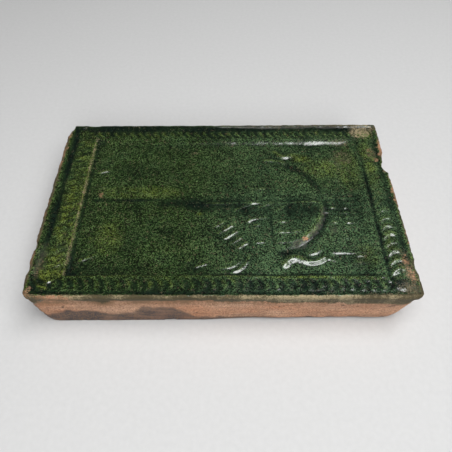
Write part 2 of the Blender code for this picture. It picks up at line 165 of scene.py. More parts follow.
# Bunch: X and distance out from the middle line, the same on both sides
VEIN_START, VEIN_STEP, VEIN_TILT = (-2.8, 23.6), (4.75, 5.6), 37.0
VEIN_HALVES = (4.2, 7.3, 6.5, 5, 4.4)
VEIN_HALF_WIDTH, VEIN_HEIGHT = 2.0, 0.82
ROSETTE_CENTRE = (1.0, 54.0)
ROSETTE_ARCS = ((20, 0.88), (14.6, 0.55), (11, 0.5))
ARC_HALF_WIDTH = 2.2
SEAM_HEIGHT, SEAM_HALF_WIDTH = 0.62, 1.6  # the mould's middle line
MIDDLE_BLEND = 6.0  # half width over which the near half passes into the far one
STROKES = (  # points, half width, height
    (((21, 21), (25, 18.5), (31, 17), (37, 16.5)), 2, 0.62),
    (((22, 21), (23.5, 18.5)), 1.8, 0.4),
    (((27, 25.2), (30.5, 24.6)), 1.9, 0.8),
    (((32, 12.5), (33.5, 11)), 1.8, 0.45),
    (((26, 42.8), (33, 42.6)), 1.7, 0.66),
    (((46.5, 32.4), (64, 32.4)), 1.6, 0.7),
    (((46.5, 42.8), (56, 42.2), (61, 39.5)), 1.7, 0.4),
    (((48, 21.4), (52, 21.2)), 1.8, 0.65),
    (((-21, 67.5), (-13, 64.5)), 2, 0.72),
    (((-35, 61), (-25, 61.5)), 2.2, 0.35),
    (((10.5, 8.5), (17.8, 3.8), (26.5, 0.8)), 1.9, 0.6),
    (((32, 5.5), (36, 2.5), (42, 1)), 1.9, 0.55),
    (((46, 8.5), (51, 5), (56, 2)), 1.9, 0.55),
    (((-112, 61), (-101, 55.5)), 2.6, 0.85),
    (((-113, 39), (-107, 38.5), (-102, 38)), 2.6, 0.6),
    (((-107, 39), (-105.5, 44)), 2.2, 0.6),
    (((-56, 10), (-45, 8.5)), 2.4, 0.4),
    (((-52, 21), (-43, 18)), 2.6, 0.45),
    (((82, 58.5), (89, 61.5)), 1.6, 0.42),
    (((86, 54), (95, 53.5), (103, 54)), 1.6, 0.1),
    (((107, 56), (120, 56.5)), 1.8, 0.36),
    (((115, 49), (121, 46)), 2, 0.4),
)
FAR_LEFT = 0.3  # how much of the picture's height is left on the far half
FAR_STROKES = (
    (((-112, 34.5), (-105, 37)), 2.8, 1.2),
    (((-105, 29), (-102, 30)), 2.2, 0.5),
    (((-108, 17), (-103, 20.5)), 2.4, 0.5),
    (((32, 14), (37, 15)), 2.2, 0.5),
    (((39, 50.5), (48, 50), (56, 47.5)), 3.4, 0.95),
)

# Damage: side, as axis and sign, place along it, half width, depth; the first row tapers the plate's head
EDGE_NICKS = (
    ("y", 1, -150, 260, 2),
    ("x", -1, 100, 11, 3.4),
    ("x", -1, -98, 16, 1.4),
    ("x", 1, 46, 14, 2.6),
    ("x", 1, 39, 7.5, 3),
    ("x", 1, -72, 7, 1.2),
    ("x", -1, -52, 5, 1.4),
    ("x", -1, -74, 5, 1.2),
    ("x", -1, 92, 10, 2.4),
    ("y", 1, -126, 7, 1.4),
    ("y", -1, -139, 9, 1),
    ("y", -1, 96, 7, 0.8),
)
NICK_REACH = 9.0
DEEP_NICK = 1.3  # a nick deeper than this broke through the glaze
FOOT_BEVEL = 1.7  # how far the collar's foot is rubbed in along its near side
FOOT_BEVEL_TOP, FOOT_BEVEL_ALONG, NEAR_WALL_Y = 5.0, (-20.0, 25.0), -60.0
FOOT_NICKS = ((-42, 5, 2.6), (100, 4, 2.2))

# Finish: soft spots of each kind: middle X and Y, half widths along X and Y, strength
CHIPS = (
    (67.3, -43.2, 3.6, 2.5, 0.8),
    (-107, 6, 2.6, 5, 0.5),
    (142.5, -66, 3.8, 10, 0.5),
    (145, -80, 4, 11, 0.48),
    (-146, -95, 5, 6, 0.55),
    (-126, -99.5, 18, 2.4, 0.7),
    (151, 64, 5.5, 17, 1.2),
    (151, 38, 4.5, 10, 1),
    (151, 8, 3.8, 28, 1),
    (151, -40, 2.4, 18, 0.9),
    (-149.5, 86, 4.5, 12, 0.8),
    (-151, 50, 4, 34, 1.2),
    (-151, -10, 2.8, 22, 1),
    (-151, -60, 3.6, 34, 0.9),
    (137, 61, 3, 4.5, 0.6),
    (141, 48, 3, 4, 0.6),
)
SKIN_SPOTS = (
    (-141.5, -72, 4.5, 14, 0.42),
    (143.5, -76, 6.5, 26, 0.55),
    (142, -93, 13, 9, 0.6),
    (118, -98, 22, 3, 0.55),
    (134, 88, 14, 12, 0.86),
    (143, 94, 9, 8, 0.5),
    (139, 56, 6, 14, 0.45),
    (112, 74, 14, 6, 0.4),
    (110, 52, 13, 16, 0.35),
    (-26, 60.5, 6, 2.2, 0.5),
)
CLEAN_SPOTS = (
    (-121.6, 0, 3, 140, 0.4),
    (136, 88, 15, 13, 1.1),
    (60, -100, 60, 4, 0.6),
    (-122, -100, 22, 4, 0.4),
)
WORN_SPOTS = (
    (92, -32, 6, 8, 0.2),
    (62, -48.5, 7, 5, 0.9),
    (-141, -64, 6, 20, 0.4),
    (-128, -55, 8, 20, 0.12),
    (70, 97.5, 90, 4.5, 1),
)
POOLED_AND_SHADE_SPOTS = (
    # painted shadow in the hollow under the near handle's left end
    (49, -57, 9, 5, 0.4),
    (135, -88, 10, 9, 0.8),
    # painted light: this negative spot lightens the head's inner groove, which lies in shade
    (-118, 0, 5, 90, -0.4),
)
THIN_SPOTS = (
    (-128, -76, 6, 8, 0.45),
    (135, 45, 7, 34, 0.4),
    (135, -50, 6, 20, 0.3),
    (114, 40, 12, 34, 0.35),
    (114, -60, 12, 14, 0.35),
    (72, 53, 12, 7, 0.7),
    (137, 86, 11, 10, 0.6),
    (133, 62, 7, 12, 0.5),
    (-19, -15, 3, 2.5, 0.7),
    (92, 40, 26, 16, 0.34),
    (-70, 10, 45, 9, 0.35),
    (-92, -40, 14, 22, 0.35),
)

# Clay is bare below the height at which the glaze's runs end on the plate's edge
RUN_END = 36.5
NEAR_RUN_END = (  # the same along the near side: X, height
    (-148, -139, -128, -112, -100, -60, -42, -10, 5, 40, 70, 100, 140),
    (24, 35, 39, 36.8, 37, 38, 39.6, 38.2, 35.6, 34.4, 33, 30.5, 29.5),
)
OUTSIDE = 16.0  # points less far in than this lie outside the hollow
SMOKE_EDGE = (  # along the near wall from the head: X, height of the smoke's edge over the rim
    (-141, -130, -120, -100, -80, -72, -63, -50, -40, -30, -22, 20, 90, 140),
    (12, 16, 19, 18, 14, 15, 24, 26, 24, 16, 7, 5, 4, 3),
)
SKIN_WIDER = (  # how much wider than a millimetre the skin on the plate's arrises is, and its steps
    (0.1, ("x", -20, 20), ("x", 110, 80)),
    (1.6, ("x", -140, -147)),
    (0.9, ("x", 90, 140), ("y", -80, -97)),
    (1.2, ("y", 90, 97)),
    (0.7, ("y", -94, -98)),
)
POOLED_AND_SHADE_BANDS = (  # strength, measured along, middle, half width, steps
    (0.6, "y", 0, 2.4, ("x", -114, -108), ("x", -25, -40)),
    (0.55, "y", -95.6, 2.2, ("x", 60, -10), ("x", -144, -138)),
    (0.4, "x", MOUTH_X - 1, 2.2, ("y", -50, -40), ("y", 22, 10)),
    # painted shade: a dark band just outside the bowl's near shoulder, where its steep edge falls away from
    # the light
    (0.4, "edge", 3, 5, ("y", -12, -24), ("x", 44, 48)),
    # painted shade where the bowl's far edge falls away from the light, over glaze gathered there
    (0.75, "edge", -2.5, 5.5, ("y", 8, 18), ("x", 54, 60)),
)

# Patterns, in millimetres. The glaze's boiled specks are really finer: they are drawn coarse enough to show,
# and the palest of them are painted glints.
SPECK, SAND, SOOT_CLOUD, GRIT, BOARD_GRAIN = 0.62, 0.9, 40.0, 1.2, 2.0
STREAK_STRETCH = 0.18  # share to which the streaks' pattern is squeezed along X, which draws them out
# Noises: size, detail, roughness
GLAZE_NOISES = ((3.5, 4, 0.65), (12, 5, 0.65), (1.8, 4, 0.7), (1.6, 3, 0.65), (1.7, 3, 0.6))
CLAY_DRAWN = (0.08, 0.35)  # the same across the collar's wall, for the clay's drag marks and its blotches
CLAY_NOISES = ((9, 4, 0.6), (6, 5, 0.7), (1.6, 3, 0.6), (2.8, 3, 0.5))

# Stage
LIGHTS = (
    ("overhead_softbox", (0.15, -0.18, 1.3), (0.0, 0.0, 0.0), (1.4, 0.42), 16.0),
    ("front_key", (0.5, -2.6, 1.7), (0.0, 0.0, 0.0), (1.3, 1.1), 50.0),
    ("right_key", (1.5, -1.1, 2.4), (0.0, 0.0, 0.0), (1.4, 1.4), 31.0),
)
ROOM_COLOUR = (0.03, 0.032, 0.03)
CAMERA_LENS = 40.2
CAMERA_PLACE = (0.0029, -0.2983, 0.3626)
CAMERA_DOWN = 50.03  # degrees below the horizon
FLOOR_HALF = 3.0


def linear(code):
    """Linear RGBA of an sRGB hex colour."""
    parts = [int(code[i : i + 2], 16) / 255 for i in (1, 3, 5)]
    return (*[p / 12.92 if p <= 0.04045 else ((p + 0.055) / 1.055) ** 2.4 for p in parts], 1.0)


# ---------------------------------------------------------------- shapes of the relief


def smooth(low, high, value):
    """Rises from 0 at low to 1 at high with level ends: s squared times (3 - 2 s)."""
    share = np.clip((value - low) / (high - low), 0, 1)
    return share * share * (3 - 2 * share)


def ridge(distance, half_width):
    """A rounded ridge: 1 on its line, falling as a parabola to 0 at half_width."""
    return np.clip(1 - (distance / half_width) ** 2, 0, 1)


def mound(distance, half_width):
    """A soft ridge: 1 on its line, falling with level ends to 0 at half_width."""
    return ridge(distance, half_width) ** 2


def waves(x, y, length, seed, count=12):
    """Smooth drift with a spread of about 1: sine waves of about this length in random directions, added."""
    rng = np.random.default_rng(seed)
    angles = rng.uniform(0, 2 * np.pi, count)
    lengths = length * rng.uniform(0.7, 1.5, count)
    phases = rng.uniform(0, 2 * np.pi, count)
    total = np.zeros(np.broadcast(x, y).shape)
    for angle, size, phase in zip(angles, lengths, phases):
        total += np.sin(2 * np.pi * (x * np.cos(angle) + y * np.sin(angle)) / size + phase)
    return total / math.sqrt(count / 2)


def drift(x, y, *rows):
    """Sum of waves, each row giving their height, length and seed."""
    return sum(height * waves(x, y, length, seed) for height, length, seed in rows)


def rises(places, *steps):
    """Product of soft steps, each given by what it is measured along, where it is 0 and where it is 1."""
    return math.prod(smooth(none, full, places[along]) for along, none, full in steps)


def amounts(places, parts):
    """Sum of amounts, each times the product of the soft steps that bound it."""
    return sum(size * rises(places, *steps) for size, *steps in parts)


def strokes(x, y, rows):
    """Sum of soft strokes along curves, each row giving its points, half width and height."""
    return sum(height * mound(to_path(x, y, points), half) for points, half, height in rows)


def to_stroke(x, y, start, end):
    """Distance from each point to the straight stroke from start to end."""
    start, end = np.array(start, float), np.array(end, float)
    run = end - start
    share = np.clip(((x - start[0]) * run[0] + (y - start[1]) * run[1]) / (run @ run), 0, 1)
    return np.hypot(x - start[0] - share * run[0], y - start[1] - share * run[1])


def to_path(x, y, points, steps=5):
    """Distance to a Catmull-Rom curve through the points, taken as short strokes."""
    if len(points) == 2:
        return to_stroke(x, y, *points)
    p = np.array([points[0], *points, points[-1]], float)
    t = np.arange(steps)[:, None] / steps
    curve = [
        0.5 * (2 * b + (c - a) * t + (2 * a - 5 * b + 4 * c - d) * t**2 + (3 * b - a - 3 * c + d) * t**3)
        for a, b, c, d in zip(p, p[1:], p[2:], p[3:])
    ]
    curve = np.vstack([*curve, p[-1:]])
    return np.min([to_stroke(x, y, a, b) for a, b in zip(curve, curve[1:])], axis=0)


def frame_place(x, y):
    """Share of the section reached from the edge, ribs counted along the side, and the side's number."""
    insets = x + FACE_LENGTH / 2, FACE_LENGTH / 2 - x, y + FACE_WIDTH / 2, FACE_WIDTH / 2 - y
    runs = -y, y, x, -x
    shares = np.stack([np.interp(inset, knots, SECTION_KNOTS) for inset, (knots, _, _) in zip(insets, SIDES)])
    side = np.argmin(shares, axis=0)
    pitches = np.array([pitch for _, pitch, _ in SIDES])[side]
    starts = np.array([start for _, _, start in SIDES])[side]
    return shares.min(axis=0), (np.choose(side, runs) - starts) / pitches, side


def gouges(turn, across):
    """Thumbnail cuts in a row: each falls steeply from its curved lip, then rises slowly to the next one."""
    place = turn + RIB_BEND * (across - RIB_BEND_PLACE) ** 2
    place = place - np.floor(place)
    return smooth(0, RIB_FALL, place) * smooth(1, RIB_FALL, place)


def roll_cuts(share, turn, side, y):
    """How much of the roll's gouging is left at a point and how deep it is cut there, both from 0 to 1."""
    first, last = ROLL
    across = (share - (first + last) / 2) / ((last - first) / 2)
    crisp = 0.72 + 0.28 * ridge(y + 68, 14) + 0.18 * ridge(y + 34, 11)
    foot_left = crisp * (1 - (1 - FOOT_FADED) * smooth(*FOOT_FADE, y))
    left = np.array(ROLL_LEFT)[side] * np.where(side == FOOT, foot_left, 1)
    left = left * ridge(across, 1.12) ** 0.5
    return left, left * (1 - gouges(turn, across))


def frame_relief(x, y, sizes):
    """The frame: lip, groove, gouged roll and fillet, its corners covered by ringed bosses."""
    share, turn, side = frame_place(x, y)
    places = {"x": x, "share": share}
    section = np.interp(share, SECTION_KNOTS, SECTION_HEIGHTS)
    filled = (1 - np.array(SECTION_LEFT)[side]) * rises(places, *FILLED)
    section = section + filled * (FILLED_LEVEL - section)
    far_lip = FAR_LIP_FILL * (side == FAR) * rises(places, *FAR_LIP)
    section = section + far_lip * (FAR_LIP_LEVEL - section)
    section = section - sizes.rib_cut / MM * roll_cuts(share, turn, side, y)[1]
    for centre_x, centre_y, left, top in BOSSES:
        away = np.hypot(x - centre_x, y - centre_y)
        rings = BOSS_RELIEF * left * np.cos(2 * np.pi * away / BOSS_RING)
        boss = np.minimum(BOSS_TOP - BOSS_RISE * (away / BOSS_RADIUS) ** 2 - rings, top)
        section = np.where(away < BOSS_RADIUS, np.maximum(boss, section - 0.5), section)
    return section + strokes(x, y, BOSS_ARCS)


def block(x, out, measures):
    """A flat-topped step: from X, to X, half width and height, its edges eased over 1.6 mm."""
    low, high, half_width, height = measures
    inside = np.minimum(np.minimum(x - low, high - x), half_width - out)
    return height * smooth(-0.7, 0.9, inside)


def bowl_edge(x, out):
    """Distance outwards from the bowl's half-elliptical outline."""
    return (np.hypot((x - MOUTH_X) / BOWL_DROP, out / BOWL_REACH) - 1) * BOWL_DROP


def bowl_relief(x, out, near, sizes):
    """The bowl: flat, then rounding over its near shoulder into a groove; the glaze drowns its far edge."""
    full = sizes.bowl_height / MM
    from_edge = bowl_edge(x, out)
    over = np.clip((from_edge + BOWL_SHOULDER) / BOWL_SHOULDER, 0, 1)
    drowned = BOWL_DROWNED * full * smooth(2, -9, from_edge)
    groove = BOWL_GROOVE_FAR + (BOWL_GROOVE_NEAR - BOWL_GROOVE_FAR) * near
    top = drowned + near * (full * np.sqrt(1 - over**2) - drowned)
    top = top - groove * mound(from_edge - BOWL_GROOVE_OUT, BOWL_GROOVE_HALF)
    below = x - MOUTH_X
    return top * (BOWL_WORN * smooth(-1, 1.5, below) + (1 - BOWL_WORN) * smooth(*BOWL_WORN_RUN, below))


def plinth_relief(x, out):
    """A low table, set with a foot and a lattice, both made of rows of long beads."""
    along = x - BEADS_X - BEAD_PITCH * np.round((x - BEADS_X) / BEAD_PITCH)
    aside = out - BEAD_PITCH * np.round(out / BEAD_PITCH)
    beads = mound(aside, BEAD_HALF_WIDTH) * ridge(along, BEAD_HALF_LENGTH)
    studded = np.maximum(block(x, out, FOOT_STEP), block(x, out, LATTICE_STEP))
    left = np.clip(0.6 + drift(x, out, (0.4, 9, 13)), 0.1, 1)
    return block(x, out, TABLE) + studded + BEAD_HEIGHT * left * beads * smooth(0, 0.15, studded)


def vein_lines():
    """The near leaf's parallel veins as strokes, each moved on from the last along the leaf."""
    tilt = np.array([math.cos(math.radians(VEIN_TILT)), -math.sin(math.radians(VEIN_TILT))])
    for index, half in enumerate(VEIN_HALVES):
        middle = np.array(VEIN_START) + index * np.array(VEIN_STEP)
        yield middle - half * tilt, middle + half * tilt


def rosette_relief(x, out):
    """Petal edges as arcs round one centre, kept where they turn to the vase's foot and the near side."""
    down, aside = x - ROSETTE_CENTRE[0], out - ROSETTE_CENTRE[1]
    away = np.hypot(down, aside)
    facing = (0.62 * down + 0.78 * aside) / np.maximum(away, 1)
    arcs = [height * mound(away - radius, ARC_HALF_WIDTH) for radius, height in ROSETTE_ARCS]
    return np.max(arcs, axis=0) * smooth(0.45, 0.85, facing)


def picture_relief(x, y, sizes):
    """The picture over the field: vase, handles, plinth and bunch, each as worn as it is left on its side."""
    out = np.abs(y - AXIS_Y)
    near = smooth(MIDDLE_BLEND, -MIDDLE_BLEND, y - AXIS_Y)
    far_left = FAR_LEFT + (1 - FAR_LEFT) * near
    handle_half = HANDLE_HALF_WIDTH * (1 - (1 - HANDLE_TAPERED) * smooth(*HANDLE_TAPER, x))
    handles = sizes.handle_height / MM * mound(to_path(x, out, HANDLE_PATH), handle_half)
    handles = handles * (near + (1 - near) * smooth(*FAR_HANDLE_WORN, x))
    vase = np.maximum(bowl_relief(x, out, near, sizes), handles)
    plinth = plinth_relief(x, out) * (FAR_PLINTH_LEFT + (1 - FAR_PLINTH_LEFT) * near)
    veins = sum(VEIN_HEIGHT * mound(to_stroke(x, out, *ends), VEIN_HALF_WIDTH) for ends in vein_lines())
    curls = CURL_HEIGHT * mound(to_path(x, out, CURL_PATH), CURL_HALF_WIDTH)
    lines = curls + rosette_relief(x, out) + veins + strokes(x, out, STROKES)
    height = np.maximum(vase, plinth) + lines * far_left + strokes(x, y, FAR_STROKES)
    seam = (SEAM_HEIGHT + drift(x, y, (0.15, 25, 14))) * mound(y - AXIS_Y, SEAM_HALF_WIDTH)
    return height + seam * smooth(-20, -12, x) * smooth(88, 82, x)


def blurred(grid, passes):
    """Each point averaged with its neighbours, several times over, as glaze rounds what it covers."""
    for _ in range(passes):
        for axis in (0, 1):
            count = grid.shape[axis]
            padded = np.concatenate([np.take(grid, [0], axis), grid, np.take(grid, [-1], axis)], axis)
            before, after = np.take(padded, range(count), axis), np.take(padded, range(2, count + 2), axis)
            grid = 0.5 * grid + 0.25 * (before + after)
    return grid


def face_height(x, y, sizes):
    """Height of the glazed face over the rim: frame and picture, rounded by the glaze, drifting a little."""
    share, _, _ = frame_place(x, y)
    frame_part = frame_relief(x, y, sizes)
    field = -sizes.field_depth / MM + picture_relief(x, y, sizes) * smooth(1, 1.15, share)
    head_groove = HEAD_GROOVE_DEPTH * mound(x - HEAD_GROOVE_X, HEAD_GROOVE_HALF)
    field = field - head_groove * (np.abs(y) < HEAD_GROOVE_END)
    carved = np.where(share < 1, frame_part, field)
    uneven = drift(x, y, (0.2, 60, 3), (0.08, 17, 4), (0.035, 6, 5)) * smooth(0, 0.3, share)
    return TILE_DEPTH - FACE_SINK + blurred(glazed_over(x, y, carved), 1) + uneven


def glazed_over(x, y, carved):
    """The carved heights, filled by slopes of glaze from frame to field, and cut by the foot's groove."""
    near_shift, far_shift = FILL_SHIFTS
    gentle = FILL_TOP - FILL_DROP * smooth(*FILL_RUN, np.where(y < 0, near_shift - y, far_shift + y))
    swell = 0.15 + 0.13 * smooth(-60, 0, x) + drift(x, y, (0.04, 22, 15))
    gentle = gentle + swell * smooth(-114, -100, x) * mound(y - FILLET_Y, FILLET_HALF)
    crisp = np.where(y > 0, np.interp(y, *FAR_SLOPE), gentle - CARVED_DROP)
    glaze = gentle + (crisp - gentle) * smooth(*FILL_CLEAR, x) - CARVED_DROP * smooth(*HEAD_CLEAR, x)
    glaze = np.maximum(glaze, FOOT_FILL - FOOT_FILL_DROP * smooth(*FOOT_FILL_RUN, x))
    groove = FOOT_GROOVE_DEPTH * (1 - 0.5 * smooth(20, 45, y))
    groove = groove * mound(x - FOOT_GROOVE_X, FOOT_GROOVE_HALF) * smooth(*GROOVE_ENDS, np.abs(y))
    return np.maximum(carved, glaze) - groove


# ---------------------------------------------------------------- the surface


def rounded(sx, sy, inset, radius):
    """Carries points of the square from -1 to 1 onto a rounded rectangle, inset from the face's outline."""
    half_x, half_y = FACE_LENGTH / 2 - inset, FACE_WIDTH / 2 - inset
    x, y = sx * half_x, sy * half_y
    over_x = np.clip(np.abs(x) - (half_x - radius), 0, None)
    over_y = np.clip(np.abs(y) - (half_y - radius), 0, None)
    shrink = np.maximum(over_x, over_y) / np.maximum(np.hypot(over_x, over_y), 1e-9)
    shrink = np.where((over_x > 0) & (over_y > 0), shrink, 1)
    askew = min(inset / COLLAR_INSET, 1)
    x = np.sign(x) * (np.abs(x) - over_x * (1 - shrink))
    y = np.sign(y) * (np.abs(y) - over_y * (1 - shrink))
    return x + askew * (COLLAR_SHIFT - COLLAR_TURN * y), y + askew * COLLAR_TURN * x


def to_side(x, y, axis, sign):
    """Places along one side of the plate, and distances in from it."""
    return (y, FACE_LENGTH / 2 - sign * x) if axis == "x" else (x, FACE_WIDTH / 2 - sign * y)


def nicked(x, y):
    """Pushes the plate's edge in at its nicks and by a small unevenness, fading out towards the field."""
    for axis, sign, place, half_width, depth in EDGE_NICKS:
        along, inset = to_side(x, y, axis, sign)
        push = sign * depth * smooth(NICK_REACH, 0, inset) * ridge(along - place, half_width)
        x, y = (x - push, y) if axis == "x" else (x, y - push)
    uneven = np.clip(0.25 + drift(x, y, (0.2, 14, 11), (0.12, 5, 12)), 0, 1)
    x = x - np.sign(x) * uneven * smooth(FACE_LENGTH / 2 - 4, FACE_LENGTH / 2, np.abs(x))
    y = y - np.sign(y) * uneven * smooth(FACE_WIDTH / 2 - 4, FACE_WIDTH / 2, np.abs(y))
    return x, y


def rim_loop(columns, rows):
    """Indices of the face grid's outer points, once round."""
    grid = np.arange(columns * rows).reshape(rows, columns)
    return np.concatenate([grid[0, :-1], grid[:-1, -1], grid[-1, :0:-1], grid[:0:-1, 0]])


def along_rings(rings, steps):
    """Inset, height and radius at even steps along the profile that the rings give."""
    rings = np.array(rings)
    run = np.concatenate([[0], np.cumsum(np.hypot(*np.diff(rings[:, :2], axis=0).T))])
    at = np.linspace(0, run[-1], steps)
    return np.column_stack([np.interp(at, run, rings[:, k]) for k in range(3)])


def band(upper, lower):
    """Quads between two loops of the same count."""
    return np.column_stack([upper, lower, np.roll(lower, -1), np.roll(upper, -1)])


def thinning_band(upper, lower):
    """Triangles between a loop and one with a point for every INNER_SHARE of its points."""
    count = len(lower)
    fine = upper.reshape(count, INNER_SHARE)
    fine_next = np.roll(upper, -1).reshape(count, INNER_SHARE)
    half = INNER_SHARE // 2
    after = np.roll(lower, -1)
    first = [np.column_stack([fine[:, k], lower, fine_next[:, k]]) for k in range(half)]
    second = [np.column_stack([fine[:, k], after, fine_next[:, k]]) for k in range(half, INNER_SHARE)]
    between = np.column_stack([fine[:, half], lower, after])
    return np.vstack([*first, *second, between])


def wall_ring(sx, sy, inset, level, radius):
    """One loop of points round the plate's edge or the collar, with nicks, drag marks and a rubbed foot."""
    x, y = rounded(sx, sy, inset, radius)
    nick_x, nick_y = nicked(x, y)
    near_face = smooth(*PLATE_EDGE, level)
    x, y = x + near_face * (nick_x - x), y + near_face * (nick_y - y)
    drag = drift(x * 0.15, y * 0.15 + level, (0.12, 3, 21)) + drift(x, y, (0.25, 40, 22))
    scale = 1 + (drag - 0.35) * (1 - near_face) * smooth(0, 4, level) / (FACE_WIDTH / 2)
    x, y = x * scale, y * scale
    bevel = FOOT_BEVEL * smooth(FOOT_BEVEL_TOP, 0, level) * smooth(*FOOT_BEVEL_ALONG, x)
    return np.column_stack([x, y + bevel * (y < NEAR_WALL_Y), np.full(len(x), level)])


def break_rim(ring):
    """Lifts the rim at the nicks in its near side and where crumbs broke off."""
    x, y, z = ring.T
    for place, half_width, tall in FOOT_NICKS:
        z += tall * ridge(x - place, half_width) * (y < 0)
    z += 0.5 * np.clip(waves(x, y, 9, 23) - 0.6, 0, 1.5)


def tile_surface(sizes):
    """Points, quads, triangles and per-point finish of the whole closed surface.

    The face is a grid of heights; loops of points run from its rim down the plate's edge and the collar,
    under the rim, up the inside and across the back of the plate to its middle.
    """
    step = sizes.mesh_step / MM
    columns = 2 * round(FACE_LENGTH / (step * STEP_ALONG) / 2) + 1
    rows = 2 * round(FACE_WIDTH / (step * STEP_ACROSS) / 2) + 1
    sx, sy = np.meshgrid(np.linspace(-1, 1, columns), np.linspace(-1, 1, rows))
    x, y = rounded(sx, sy, 0, FACE_CORNER)
    height = face_height(x, y, sizes)
    cavity = 0.6 * (blurred(height, 24) - height) + 0.9 * (blurred(height, 4) - height)
    face = np.column_stack([*[part.ravel() for part in nicked(x, y)], height.ravel()])
    corner = (np.arange(rows - 1)[:, None] * columns + np.arange(columns - 1)).ravel()
    quads = [np.column_stack([corner, corner + 1, corner + columns + 1, corner + columns])]

    above, start = rim_loop(columns, rows), columns * rows
    sx, sy = sx.ravel()[above], sy.ravel()[above]
    loops = [wall_ring(sx, sy, *ring) for ring in along_rings(OUTER_RINGS, OUTER_STEPS)]
    break_rim(loops[-1])
    for inset, level, radius in along_rings(INNER_RINGS, INNER_STEPS):
        x, y = rounded(sx[::INNER_SHARE], sy[::INNER_SHARE], inset, radius)
        loops.append(np.column_stack([x, y, np.full(len(x), level)]))
    for share in np.linspace(1, 0, BACK_STEPS + 1)[1:-1]:
        back_x, back_y = x * share, y * share
        smear = (drift(back_x, back_y * 0.4, (0.35, 14, 31)) - BACK_DIP) * smooth(1, 0.8, share)
        loops.append(np.column_stack([back_x, back_y, level + smear]))
    triangles = []
    for ring in loops:
        below = start + np.arange(len(ring))
        if len(below) == len(above):
            quads.append(band(above, below))
        else:
            triangles.append(thinning_band(above, below))
        above, start = below, start + len(ring)
    triangles.append(np.column_stack([above, np.full(len(above), start), np.roll(above, -1)]))
    points = np.vstack([face, *loops, [x.mean(), y.mean(), level - BACK_DIP]])
    return points * MM, np.vstack(quads), np.vstack(triangles), finish_of(points, cavity.ravel())


def finish_of(points, cavity):
    """The finish of each point, as shares; the face's points come first, one for each value of cavity."""
    x, y, z = points.T
    depth = np.zeros(len(points))
    depth[: cavity.size] = cavity
    on_face = np.arange(len(points)) < cavity.size
    proud = np.clip(-0.7 * depth - 0.1, 0, 0.3)
    return {
        "pooled": np.where(on_face, pooled_and_shade_share(x, y, depth), 0.5),
        "thin": np.maximum(thin_share(x, y) * on_face, proud),
        # painted sheen: the share of a bluish-grey haze of reflected light laid over the glaze towards the
        # foot
        "cool": 0.9 * smooth(-40, 40, x) * (1 - 0.5 * smooth(0, 20, y)),
        "bare": clay_share(x, y, z),
        "smoke": smoke_and_nick_shadow_share(x, y, z),
        "worn": worn_share(x, y) * (z > RUN_END),
        "skin": skin_share(x, y, z),
        "grime_and_shade": grime_and_shade_share(x, y, z),
    }


def mesh_of(name, points, quads, triangles):
    """A mesh object from whole arrays of points, quads and triangles, shaded smooth, its normals outwards."""
    mesh = bpy.data.meshes.new(name)
    corners = np.concatenate([quads.ravel(), triangles.ravel()]).astype(np.int32)
    sizes = np.concatenate([np.full(len(quads), 4), np.full(len(triangles), 3)]).astype(np.int32)
    starts = np.concatenate([[0], np.cumsum(sizes)[:-1]]).astype(np.int32)
    mesh.vertices.add(len(points))
    mesh.vertices.foreach_set("co", points.astype(np.float32).ravel())
    mesh.loops.add(len(corners))
    mesh.loops.foreach_set("vertex_index", corners)
    mesh.polygons.add(len(sizes))
    mesh.polygons.foreach_set("loop_start", starts)
    mesh.polygons.foreach_set("loop_total", sizes)
    mesh.update(calc_edges=True)
    mesh.validate()
    mesh.shade_smooth()
    thing = bpy.data.objects.new(name, mesh)
    bpy.context.scene.collection.objects.link(thing)
    return thing


# ---------------------------------------------------------------- finish of each point


def patches(x, y, spots):
    """Soft spots: each an ellipse given by its middle, its two half widths and its strength."""
    parts = [left * ridge(np.hypot((x - cx) / rx, (y - cy) / ry), 1) for cx, cy, rx, ry, left in spots]
    return np.max(parts, axis=0)


def from_outline(x, y):
    """Distance in from the face's outline."""
    return np.minimum(FACE_LENGTH / 2 - np.abs(x), FACE_WIDTH / 2 - np.abs(y))


def run_end(x, y):
    """Height at which the glaze's runs end on the plate's edge: a level, which varies along the near side."""
    level = np.where(y < -85, np.interp(x, *NEAR_RUN_END), RUN_END)
    return level + drift(x, y, (0.7, 30, 43), (0.5, 8, 44))


def clay_share(x, y, z):
    """How bare the clay is, from 0 under glaze to 1: in chips and below the glaze's last runs."""
    ragged = drift(x, y, (1, 9, 41), (0.5, 3.5, 42))
    level = run_end(x, y)
    bare = smooth(level + 1.5, level - 1.5, z) * (from_outline(x, y) < OUTSIDE)
    return np.maximum(bare, patches(x + 0.6 * ragged, y + 0.4 * ragged, CHIPS))


def skin_share(x, y, z):
    """Where only a thin matt skin of glaze is left: on the arrises, widest at the head, and down the edge."""
    inside = from_outline(x, y)
    ragged = drift(x, y, (0.3, 9, 47), (0.2, 3.5, 48))
    wide = 1 + amounts({"x": x, "y": y}, SKIN_WIDER)
    arris = smooth(TILE_DEPTH - 1.6, TILE_DEPTH - 2.8, z) * (inside < 2.5)
    edge = np.maximum(arris, (z < TILE_DEPTH - 3.5) * (inside < OUTSIDE)) * (0.7 + 0.3 * smooth(-110, -30, x))
    skin = np.maximum(smooth(wide + 0.9, wide - 0.7, inside + ragged), edge)
    for axis, sign, place, half_width, depth in EDGE_NICKS[1:]:  # the taper isn't a chip
        along, inset = to_side(x, y, axis, sign)
        chip = ridge(along - place, 1.15 * half_width) * smooth(depth + 2, depth, inset + ragged)
        skin = np.maximum(skin, smooth(0.15, 0.5, chip) * (depth > DEEP_NICK))
    away = np.hypot(x - BOSSES[3][0], y - BOSSES[3][1])
    rings = 0.5 * ridge(away, 14) * np.sin(np.pi * away / BOSS_RING) ** 2
    spots = (patches(x, y, SKIN_SPOTS) - rings) * (z > RUN_END)
    head_line = (0.5 + drift(x, y, (0.12, 16, 55))) * ridge(x + 121.6, 1.15) * smooth(82, 78, np.abs(y))
    return np.max([skin, spots, head_line], axis=0)


